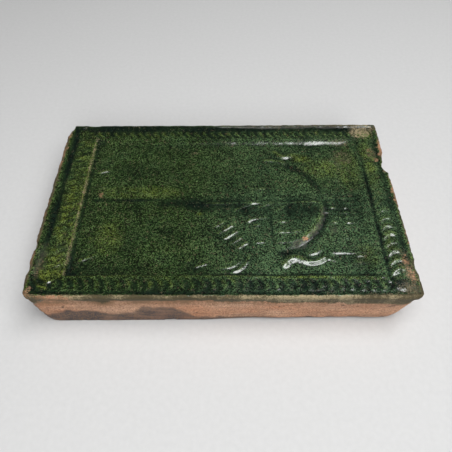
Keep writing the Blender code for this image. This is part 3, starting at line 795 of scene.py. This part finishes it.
def grime_and_shade_share(x, y, z):
    """How dark and brown the skin and the bare clay are: grime most at the head and over the last runs, some
    low on the edge. At the head, and all down the head's end wall, it is painted shade as well, as that end
    faces away from the lights.
    """
    # The head term and the extra darkening towards the head below are partly painted shade: the head's end
    # faces away from the lights.
    head = 0.65 * smooth(-138, -146, x)
    low = (0.38 + 0.2 * smooth(0, -70, x)) * smooth(41, 38.5, z)
    foot = 0.7 * smooth(142, 149, x)
    last_run = np.maximum(run_end(x, y) + 1.6, 38.6)
    near = 0.4 * smooth(20, -40, x) + 0.2 * smooth(70, 100, x)
    near = near + (0.8 + drift(x, y, (0.3, 18, 45))) * mound(z - last_run, 2.4)
    grime_and_shade = np.max([head, low, foot, near * (y < NEAR_WALL_Y)], axis=0)
    grime_and_shade = np.maximum(grime_and_shade, 0.3) + drift(x, y, (0.12, 22, 49), (0.12, 4, 50))
    grime_and_shade = grime_and_shade - patches(x, y, CLEAN_SPOTS) * (z > RUN_END)
    # painted shade: the darkening runs all the way down the head's end wall
    return np.clip(grime_and_shade, -0.3, 1) * np.maximum(smooth(26, 35, z), 0.75 * smooth(-139, -143, x))


def worn_share(x, y):
    """Where the glaze is rubbed grey and matt: on the bowl's near shoulder, on arrises and in a few spots."""
    edge = bowl_edge(x, np.abs(y - AXIS_Y))
    shoulder = mound(edge + 1.2, 2.7) * smooth(-6, -16, y) * smooth(52, 60, x)
    shoulder = shoulder * (0.55 + drift(x, y, (0.3, 5, 46)))
    spots = patches(x, y, WORN_SPOTS) * np.clip(0.8 + drift(x, y, (0.45, 7, 51)), 0.1, 1)
    return np.clip(np.maximum(shoulder, spots), 0, 1)


def smoke_and_nick_shadow_share(x, y, z):
    """The smoke stain: low clouds along the collar's near wall from the head corner; the rim's nicks are
    darkened too, as painted shadow.
    """
    crest = np.interp(x, *SMOKE_EDGE) + drift(x, y, (0.8, 14, 52), (0.4, 5, 53))
    strong = 0.86 + 0.12 * smooth(-80, -105, x)
    cloud = smooth(crest + 2.2, crest - 1.5, z) * (strong + drift(x, 3 * z, (0.1, 25, 54)))
    # painted shadow in the rim's notches, drawn with the smoke colour
    nicks = [ridge(x - place, 1.6 * half) * smooth(2 * tall, 0, z) for place, half, tall in FOOT_NICKS]
    return np.clip(np.max([cloud, *nicks], axis=0) * smooth(-60, -80, y), 0, 1)


def thin_share(x, y):
    """Where the glaze lies thin and yellow: on the head's roll, on the ribs and on the fillet lines."""
    left, cut = roll_cuts(*frame_place(x, y), y)
    ribs = 0.4 * np.clip(left - 1.6 * cut, 0, 1) * (0.6 + drift(x, y, (0.4, 16, 62)))
    head = 0.04 + 0.05 * smooth(-30, -50, y) + 0.32 * smooth(34, 12, y) * (1 - 0.6 * mound(y + 48, 22))
    head = head + drift(x, y, (0.12, 12, 61))
    head = head * smooth(-142, -132, x) * smooth(-121, -125, x) * smooth(95, 80, np.abs(y)) + 0.5 * ribs
    head_line = (0.8 - 0.4 * smooth(10, 50, y)) * ridge(x + 122, 1.3) * smooth(80, 76, np.abs(y))
    near_line_y = -80.6 - 0.014 * np.clip(x, 0, None)
    near_line = 0.6 * ridge(y - near_line_y, 1.6) * smooth(0, 70, x) * smooth(126, 123, x)
    arcs = [0.95 * mound(to_path(x, y, points), half) for points, half, _ in BOSS_ARCS]
    spots = patches(x, y, THIN_SPOTS)
    return np.clip(np.max([head, ribs, head_line, near_line, *arcs, spots], axis=0), 0, 1)


def pooled_and_shade_share(x, y, cavity):
    """Where the glaze stands thick: in hollows, in the frame's grooves and in a flow down the middle line. It
    also carries painted shade at the bowl's edges and under the near handle, and painted light in the head's
    inner groove.
    """
    places = {"x": x, "y": y, "edge": bowl_edge(x, np.abs(y - AXIS_Y))}
    bands = [
        strength * mound(places[along] - middle, half) * rises(places, *steps)
        for strength, along, middle, half, *steps in POOLED_AND_SHADE_BANDS
    ]
    flow_y = -4 - 5 * smooth(-40, 30, x)
    half = 6.5 + 12.5 * smooth(-50, 20, x) + waves(x, y, 30, 71)
    reach = np.maximum(smooth(-64, -50, x) * (1 - 0.45 * smooth(84, 100, x)), ridge(x - 126, 16))
    flow = mound(y - flow_y, half) * reach * smooth(146, 138, x)
    flow = flow * (0.66 - 0.12 * smooth(20, 50, x) + drift(x, y, (0.08, 20, 72)))
    near_frame = (0.22 + 0.15 * smooth(-90, 0, x)) * smooth(-82, -85, y)
    far_frame = 0.5 * smooth(88, 92, y) + 0.22 * smooth(78, 82, y)
    foot = (0.42 + drift(x, y, (0.2, 20, 75))) * mound(x - FOOT_GROOVE_X, 3.6)
    foot = foot * (1 - 0.5 * smooth(8, 16, y) - 0.4 * smooth(28, 44, y))
    head = 0.6 * (1 - 0.45 * ridge(y - 14, 18)) * mound(x + 141, 4.5) * smooth(-54, -46, y)
    thick = np.max([*bands, flow, near_frame, far_frame, foot, head], axis=0)
    _, cut = roll_cuts(*frame_place(x, y), y)
    hollows = 0.12 + 1.1 * cavity + 0.2 * cut * (1 + drift(x, y, (0.4, 11, 74)))
    spots = sum(patches(x, y, [spot]) for spot in POOLED_AND_SHADE_SPOTS)
    return np.clip(np.clip(hollows, -0.3, 0.9) + thick + spots + drift(x, y, (0.12, 45, 73)), 0, 1)


# ---------------------------------------------------------------- materials


def add(tree, kind, inputs=None, output=0, **settings):
    """Adds a node with its settings, sets or links its inputs, and gives back the output asked for."""
    made = tree.nodes.new(kind)
    for name, value in settings.items():
        setattr(made, name, value)
    for socket, value in (inputs or {}).items():
        if isinstance(value, bpy.types.NodeSocket):
            tree.links.new(value, made.inputs[socket])
        else:
            made.inputs[socket].default_value = value
    return made.outputs[output] if made.outputs else None


def per_mm(size):
    """Noise scale whose blotches are about this many millimetres across."""
    return 0.5 / (size * MM)


def blank_material(name):
    """A material with an empty tree, and the tree."""
    made = bpy.data.materials.new(name)
    made.use_nodes = True
    made.node_tree.nodes.clear()
    return made, made.node_tree


NOISE, RANGE, MIX, MATH = "ShaderNodeTexNoise", "ShaderNodeMapRange", "ShaderNodeMix", "ShaderNodeMath"
PLACE = "ShaderNodeTexCoord"  # its output 3 is the place on the object, in metres
BLEND = {"output": 2, "data_type": "RGBA"}  # a mix of colours: its sockets are share 0 and colours 6 and 7


def layered(tree, base, layers):
    """Colours laid over a base one after another, each as its value rises from low to high, up to a share."""
    for value, low, high, most, colour in layers:
        share = add(tree, RANGE, {0: value, 1: low, 2: high, 4: most})
        base = add(tree, MIX, {0: share, 6: base, 7: colour}, **BLEND)
    return base


def lead_glazed_clay(colours):
    """Copper-green lead glaze over slipped red earthenware, poured on and fired, worn to the clay at edges.

    Glassy and dark green, darker where it pooled, yellow where it lies thin, with fine boiled specks. Painted
    shade, a painted sheen towards the foot and painted glints are laid into its colour as well.
    """
    made, tree = blank_material("lead_glazed_earthenware")
    where = add(tree, PLACE, output=3)
    pooled, thin, cool, bare, smoke, worn, skin, grime_and_shade = [
        add(tree, "ShaderNodeAttribute", output=2, attribute_name=name)
        for name in ("pooled", "thin", "cool", "bare", "smoke", "worn", "skin", "grime_and_shade")
    ]
    cells = add(tree, "ShaderNodeTexVoronoi", {"Vector": where, "Scale": 1 / (SPECK * MM)}, 1)
    specks, tints = [add(tree, "ShaderNodeSeparateColor", {0: cells}, output) for output in (0, 1)]
    along = add(tree, "ShaderNodeMapping", {"Vector": where, "Scale": (STREAK_STRETCH, 1, 1)})
    blotches, mottle, ragged, ripple, drawn = [
        add(tree, NOISE, {"Vector": place, "Scale": per_mm(size), "Detail": detail, "Roughness": rough})
        for place, (size, detail, rough) in zip((where, where, where, where, along), GLAZE_NOISES)
    ]

    # Glaze: two depths of green, bluish blotches, a painted bluish-grey sheen towards the foot, yellow where
    # thin, nearly black where pooled and where shade is painted, then specks, the palest of them painted
    # glints
    uneven = add(tree, RANGE, {0: blotches, 1: 0.36, 2: 0.62, 3: 0.25, 4: 1.6})
    thin_uneven = add(tree, MATH, {0: thin, 1: uneven}, operation="MULTIPLY", use_clamp=True)
    worn_grains = add(tree, RANGE, {0: tints, 1: 0.2, 2: 0.9, 4: 1.4})
    worn_grains = add(tree, MATH, {0: worn, 1: worn_grains}, operation="MULTIPLY", use_clamp=True)
    layers = (
        (mottle, 0.4, 0.58, 1, colours.glaze_deep),
        (mottle, 0.55, 0.35, 0.6, colours.glaze_blue),
        (cool, 0, 1, 1, colours.glaze_sheen_haze),
        (tints, 0.5, 1, 0.25, colours.glaze_brown),
        (thin_uneven, 0, 1, 1, colours.glaze_thin),
        (pooled, 0, 1, 1, colours.glaze_pooled_and_shade),
        (worn_grains, 0, 1, 1, colours.glaze_worn),
    )
    tone = -1.05
    for value, weight in ((specks, 1.25), (blotches, 0.25), (drawn, 0.4)):
        tone = add(tree, MATH, {0: value, 1: weight, 2: tone}, operation="MULTIPLY_ADD")
    gain = add(tree, MATH, {0: 60, 1: tone}, operation="POWER")
    gain = add(tree, MATH, {0: gain, 1: 1.9}, operation="MINIMUM")
    # Painted glints: where the specks and the streaks drawn along X run lightest, the colour is mixed towards
    # a pale colour that stands in for small glints of light, less so where the glaze pooled.
    open_glaze = add(tree, RANGE, {0: pooled, 2: 0.6, 3: 0.7, 4: 0.1})
    pale = add(tree, RANGE, {0: tone, 1: 0.2, 2: 0.75})
    pale = add(tree, MATH, {0: pale, 1: open_glaze}, operation="MULTIPLY")
    colour = layered(tree, colours.glaze, layers)
    colour = add(tree, MIX, {0: 1, 6: colour, 7: gain}, blend_type="MULTIPLY", **BLEND)
    colour = add(tree, MIX, {0: pale, 6: colour, 7: colours.glaze_glint}, **BLEND)

    # Edges: a thin matt skin, then clean clay
    broken = add(tree, MATH, {0: tints, 1: 0.6, 2: -0.3}, operation="MULTIPLY_ADD")
    broken = add(tree, MATH, {0: ragged, 1: broken})
    skin_share, bare_share = [
        add(tree, RANGE, {0: add(tree, MATH, {0: share, 1: broken}), 1: start, 2: 1.15})
        for share, start in ((skin, 0.75), (bare, 0.85))
    ]
    # grime, and painted shade at the head's end
    grimed = add(tree, MATH, {0: grime_and_shade, 1: specks})
    skin_colour = layered(tree, colours.skin, [(grimed, 0.1, 0.75, 1, colours.skin_dark)])
    clay = clay_colour(tree, where, colours, smoke)
    clay = layered(tree, clay, [(grimed, 0.35, 1.1, 1, colours.clay_rust)])
    grain = add(tree, RANGE, {0: specks, 1: 0.1, 2: 0.9, 3: 0.66, 4: 1.45})
    matt = add(tree, RANGE, {0: worn, 2: 0.7})
    for share, over in ((skin_share, skin_colour), (bare_share, clay)):
        over = add(tree, MIX, {0: 0.6, 6: over, 7: grain}, blend_type="MULTIPLY", **BLEND)
        colour = add(tree, MIX, {0: share, 6: colour, 7: over}, **BLEND)
        matt = add(tree, MATH, {0: share, 1: matt}, operation="MAXIMUM")

    bump = add(tree, "ShaderNodeBump", {"Height": ripple, "Strength": 0.9, "Distance": 0.2 * MM})
    shader = add(
        tree,
        "ShaderNodeBsdfPrincipled",
        {
            "Base Color": colour,
            "Roughness": add(tree, RANGE, {0: matt, 3: 0.2, 4: 0.8}),
            "IOR": 1.6,
            "Normal": bump,
            "Coat Weight": add(tree, RANGE, {0: matt, 3: 0.7, 4: 0}),
            "Coat Roughness": 0.08,
            "Coat Normal": bump,
        },
    )
    add(tree, "ShaderNodeOutputMaterial", {"Surface": shader})
    return made


def clay_colour(tree, where, colours, smoke):
    """Colour of fired red clay: drifting warm and pale, dragged along, sandy, smoked and pitted."""
    drawn, flat = [
        add(tree, "ShaderNodeMapping", {"Vector": where, "Scale": (share, share, 1)}) for share in CLAY_DRAWN
    ]
    broad, dull, drag, pits = [
        add(tree, NOISE, {"Vector": place, "Scale": per_mm(size), "Detail": detail, "Roughness": rough})
        for place, (size, detail, rough) in zip((flat, flat, drawn, where), CLAY_NOISES)
    ]
    sand = add(tree, "ShaderNodeTexVoronoi", {"Vector": where, "Scale": 1 / (SAND * MM)}, 1)
    layers = (
        (broad, 0.35, 0.65, 1, colours.clay_pale),
        (dull, 0.5, 0.7, 0.6, colours.clay_dull),
        (drag, 0.5, 0.75, 0.5, colours.clay_dark),
        (sand, 0.4, 0.9, 0.8, colours.clay_dark),
        (smoke, 0, 1, 1, colours.smoke),
        (pits, 0.67, 0.71, 1, colours.pit),
    )
    return layered(tree, colours.clay, layers)


def fired_red_clay(colours):
    """Unglazed red earthenware of the back, pressed by hand and fired: matt, grainy and pitted."""
    made, tree = blank_material("fired_red_earthenware")
    where = add(tree, PLACE, output=3)
    cloud = add(tree, NOISE, {"Vector": where, "Scale": per_mm(SOOT_CLOUD)})
    smoke = add(tree, RANGE, {0: cloud, 1: 0.45, 2: 0.8})
    colour = clay_colour(tree, where, colours, smoke)
    grit = add(tree, NOISE, {"Vector": where, "Scale": per_mm(GRIT), "Detail": 4, "Roughness": 0.6})
    bump = add(tree, "ShaderNodeBump", {"Height": grit, "Strength": 0.6, "Distance": 0.3 * MM})
    shader = add(tree, "ShaderNodeBsdfPrincipled", {"Base Color": colour, "Roughness": 0.9, "Normal": bump})
    add(tree, "ShaderNodeOutputMaterial", {"Surface": shader})
    return made


def plain_floor(colours):
    """Matt off-white painted board with a very faint grain."""
    made, tree = blank_material("matt_painted_board")
    where = add(tree, PLACE, output=3)
    faint = add(tree, NOISE, {"Vector": where, "Scale": per_mm(BOARD_GRAIN), "Detail": 3})
    colour = add(tree, MIX, {0: faint, 6: colours.floor, 7: colours.floor_grain}, **BLEND)
    shader = add(tree, "ShaderNodeBsdfPrincipled", {"Base Color": colour, "Roughness": 0.8})
    add(tree, "ShaderNodeOutputMaterial", {"Surface": shader})
    return made


# ---------------------------------------------------------------- settings


def colour_property(name, description, code):
    """A colour picker whose default is an sRGB hex colour."""
    return bpy.props.FloatVectorProperty(
        name=name, description=description, default=linear(code), size=4, subtype="COLOR", min=0.0, max=1.0
    )


def size_property(name, description, millimetres):
    """A length field whose default is given in millimetres."""
    return bpy.props.FloatProperty(
        name=name, description=description, default=millimetres * MM, min=0.0, unit="LENGTH", precision=4
    )


class TileSizes(bpy.types.PropertyGroup):
    """Sizes of the relief that can be changed without moving the tile's outline."""

    field_depth: size_property("Field depth", "Depth of the field below the frame's top", 3.6)
    rib_cut: size_property("Rib cut", "Depth of the cuts between the frame's ribs", 1.1)
    bowl_height: size_property("Bowl height", "Height of the vase's bowl above the field", 2.4)
    handle_height: size_property("Handle height", "Height of the vase's handles above the field", 1.6)
    mesh_step: size_property("Mesh step", "Mean distance between points of the face's surface", 0.93)


class TileColours(bpy.types.PropertyGroup):
    """Colours of the glaze, the clay and the floor."""

    glaze: colour_property("Glaze", "Copper-green glaze at its usual thickness", "#283c15")
    glaze_deep: colour_property("Deep glaze", "Glaze a little thicker than usual", "#182b10")
    glaze_blue: colour_property("Bluish glaze", "Glaze where the copper turned bluish", "#132b1b")
    glaze_thin: colour_property("Thin glaze", "Glaze lying thin over the body", "#545f22")
    glaze_brown: colour_property("Brown glaze", "Specks of glaze browned by iron from the clay", "#3a3020")
    # Painted sheen: a bluish-grey haze of reflected light laid over the glaze towards the foot.
    glaze_sheen_haze: colour_property("Cool glaze", "Glaze with a cool bloom, towards the foot", "#334a32")
    # Also the colour of the painted shade at the bowl's edges and under the near handle.
    glaze_pooled_and_shade: colour_property("Pooled glaze", "Glaze gathered in a hollow", "#07150f")
    # Painted glints: pale specks that stand in for small glints of light on the glaze.
    glaze_glint: colour_property("Glaze speck", "Pale boiled specks and scratches in the glaze", "#7c9060")
    glaze_worn: colour_property("Worn glaze", "Glaze rubbed grey on raised edges", "#3d342a")
    skin: colour_property("Glaze skin", "Thin matt skin of glaze left on edges", "#9a8c6c")
    # Also painted shade on the head's end, which faces away from the lights.
    skin_dark: colour_property("Dark glaze skin", "The same skin where it is grimed", "#40381f")
    clay: colour_property("Clay", "Fired red clay", "#ca8d69")
    clay_pale: colour_property("Pale clay", "Fired clay with a pale bloom", "#d6ac8e")
    clay_dull: colour_property("Dull clay", "Clay under old dust and soot", "#90725e")
    # Also painted shade down the head's end wall, which faces away from the lights.
    clay_rust: colour_property("Rusty clay", "Clay bare at the edges, stained by the glaze", "#74583c")
    clay_dark: colour_property("Dark clay", "Clay in drag marks and between its grains", "#704a38")
    pit: colour_property("Pit", "Shaded pits in the clay", "#33231c")
    # Also painted as shadow in the rim's nicks.
    smoke: colour_property("Smoke", "Smoke stain on the clay", "#3d383b")
    floor: colour_property("Floor", "The floor under the tile", "#c9c9c9")
    floor_grain: colour_property("Floor grain", "Grain of the floor", "#bfbfbf")


# ---------------------------------------------------------------- operators


class OBJECT_OT_stove_tile(bpy.types.Operator):
    """Make the glazed tile: its relief face, its plate and its hollow collar, as one closed surface."""

    bl_idname = "object.make_stove_tile"
    bl_label = "Stove tile"

    def execute(self, context):
        sizes, colours = context.scene.tile_sizes, context.scene.tile_colours
        points, quads, triangles, finish = tile_surface(sizes)
        tile = mesh_of("glazed_relief_tile", points, quads, triangles)
        for name, values in finish.items():
            attribute = tile.data.attributes.new(name, "FLOAT", "POINT")
            attribute.data.foreach_set("value", values.astype(np.float32))
        tile.data.materials.append(lead_glazed_clay(colours))
        tile.data.materials.append(fired_red_clay(colours))
        tile.data.polygons.foreach_set("material_index", finish_slots(tile.data))
        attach(tile, "root")
        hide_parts(NODE)
        return {"FINISHED"}


def finish_slots(mesh):
    """Material slot of each face: 1 on the hollow inside and the rim, 0 elsewhere."""
    centres = np.empty(len(mesh.polygons) * 3, np.float32)
    mesh.polygons.foreach_get("center", centres)
    x, y, z = centres.reshape(-1, 3).T / MM
    inset = np.minimum(FACE_LENGTH / 2 - np.abs(x - COLLAR_SHIFT), FACE_WIDTH / 2 - np.abs(y))
    return ((inset > 9.0) & (z < 36.0)).astype(np.int32)


class SCENE_OT_tile_stage(bpy.types.Operator):
    """Set the plain floor, the soft lights and the camera."""

    bl_idname = "scene.set_tile_stage"
    bl_label = "Stage"

    def execute(self, context):
        scene = context.scene
        floor_mesh = bpy.data.meshes.new("floor")
        corners = [(a * FLOOR_HALF, b * FLOOR_HALF, 0) for a, b in ((-1, -1), (1, -1), (1, 1), (-1, 1))]
        floor_mesh.from_pydata(corners, [], [(0, 1, 2, 3)])
        floor = bpy.data.objects.new("floor", floor_mesh)
        scene.collection.objects.link(floor)
        floor_mesh.materials.append(plain_floor(scene.tile_colours))

        for name, place, aim, size, power in LIGHTS:
            lamp = bpy.data.lights.new(name, "AREA")
            lamp.shape = "RECTANGLE"
            lamp.size, lamp.size_y = size
            lamp.energy = power
            holder = bpy.data.objects.new(name, lamp)
            holder.location = place
            direction = mathutils.Vector(aim) - mathutils.Vector(place)
            holder.rotation_euler = direction.to_track_quat("-Z", "Y").to_euler()
            holder.visible_glossy = name != "front_key"  # it would whiten the glaze seen from behind
            scene.collection.objects.link(holder)

        world = bpy.data.worlds.new("dim_room")
        world.use_nodes = True
        world.node_tree.nodes["Background"].inputs["Color"].default_value = (*ROOM_COLOUR, 1.0)
        scene.world = world

        camera = bpy.data.objects.new("camera", bpy.data.cameras.new("camera"))
        camera.data.lens = CAMERA_LENS
        camera.location = CAMERA_PLACE
        camera.rotation_euler = (math.radians(90.0 - CAMERA_DOWN), 0.0, 0.0)
        scene.collection.objects.link(camera)
        scene.camera = camera
        scene.view_settings.view_transform = "Standard"
        return {"FINISHED"}


class VIEW3D_PT_stove_tile(bpy.types.Panel):
    """Sidebar panel with the tile's sizes, colours and steps."""

    bl_label = "Stove tile"
    bl_space_type = "VIEW_3D"
    bl_region_type = "UI"
    bl_category = "Stove tile"

    def draw(self, context):
        for group in (context.scene.tile_sizes, context.scene.tile_colours):
            for name in group.__annotations__:
                self.layout.prop(group, name)
        for step in STEPS:
            self.layout.operator(step.bl_idname)


STEPS = (OBJECT_OT_stove_tile, SCENE_OT_tile_stage)
CLASSES = (TileSizes, TileColours, *STEPS, VIEW3D_PT_stove_tile)


def register():
    """Adds the classes, and their settings to the scene."""
    for item in CLASSES:
        bpy.utils.register_class(item)
    bpy.types.Scene.tile_sizes = bpy.props.PointerProperty(type=TileSizes)
    bpy.types.Scene.tile_colours = bpy.props.PointerProperty(type=TileColours)


def unregister():
    """Takes the settings and the classes away again."""
    del bpy.types.Scene.tile_colours, bpy.types.Scene.tile_sizes
    for item in reversed(CLASSES):
        bpy.utils.unregister_class(item)


def main():
    """Makes the tile and its stage."""
    register()
    bpy.ops.object.make_stove_tile()
    bpy.ops.scene.set_tile_stage()


if __name__ == "__main__":
    main()
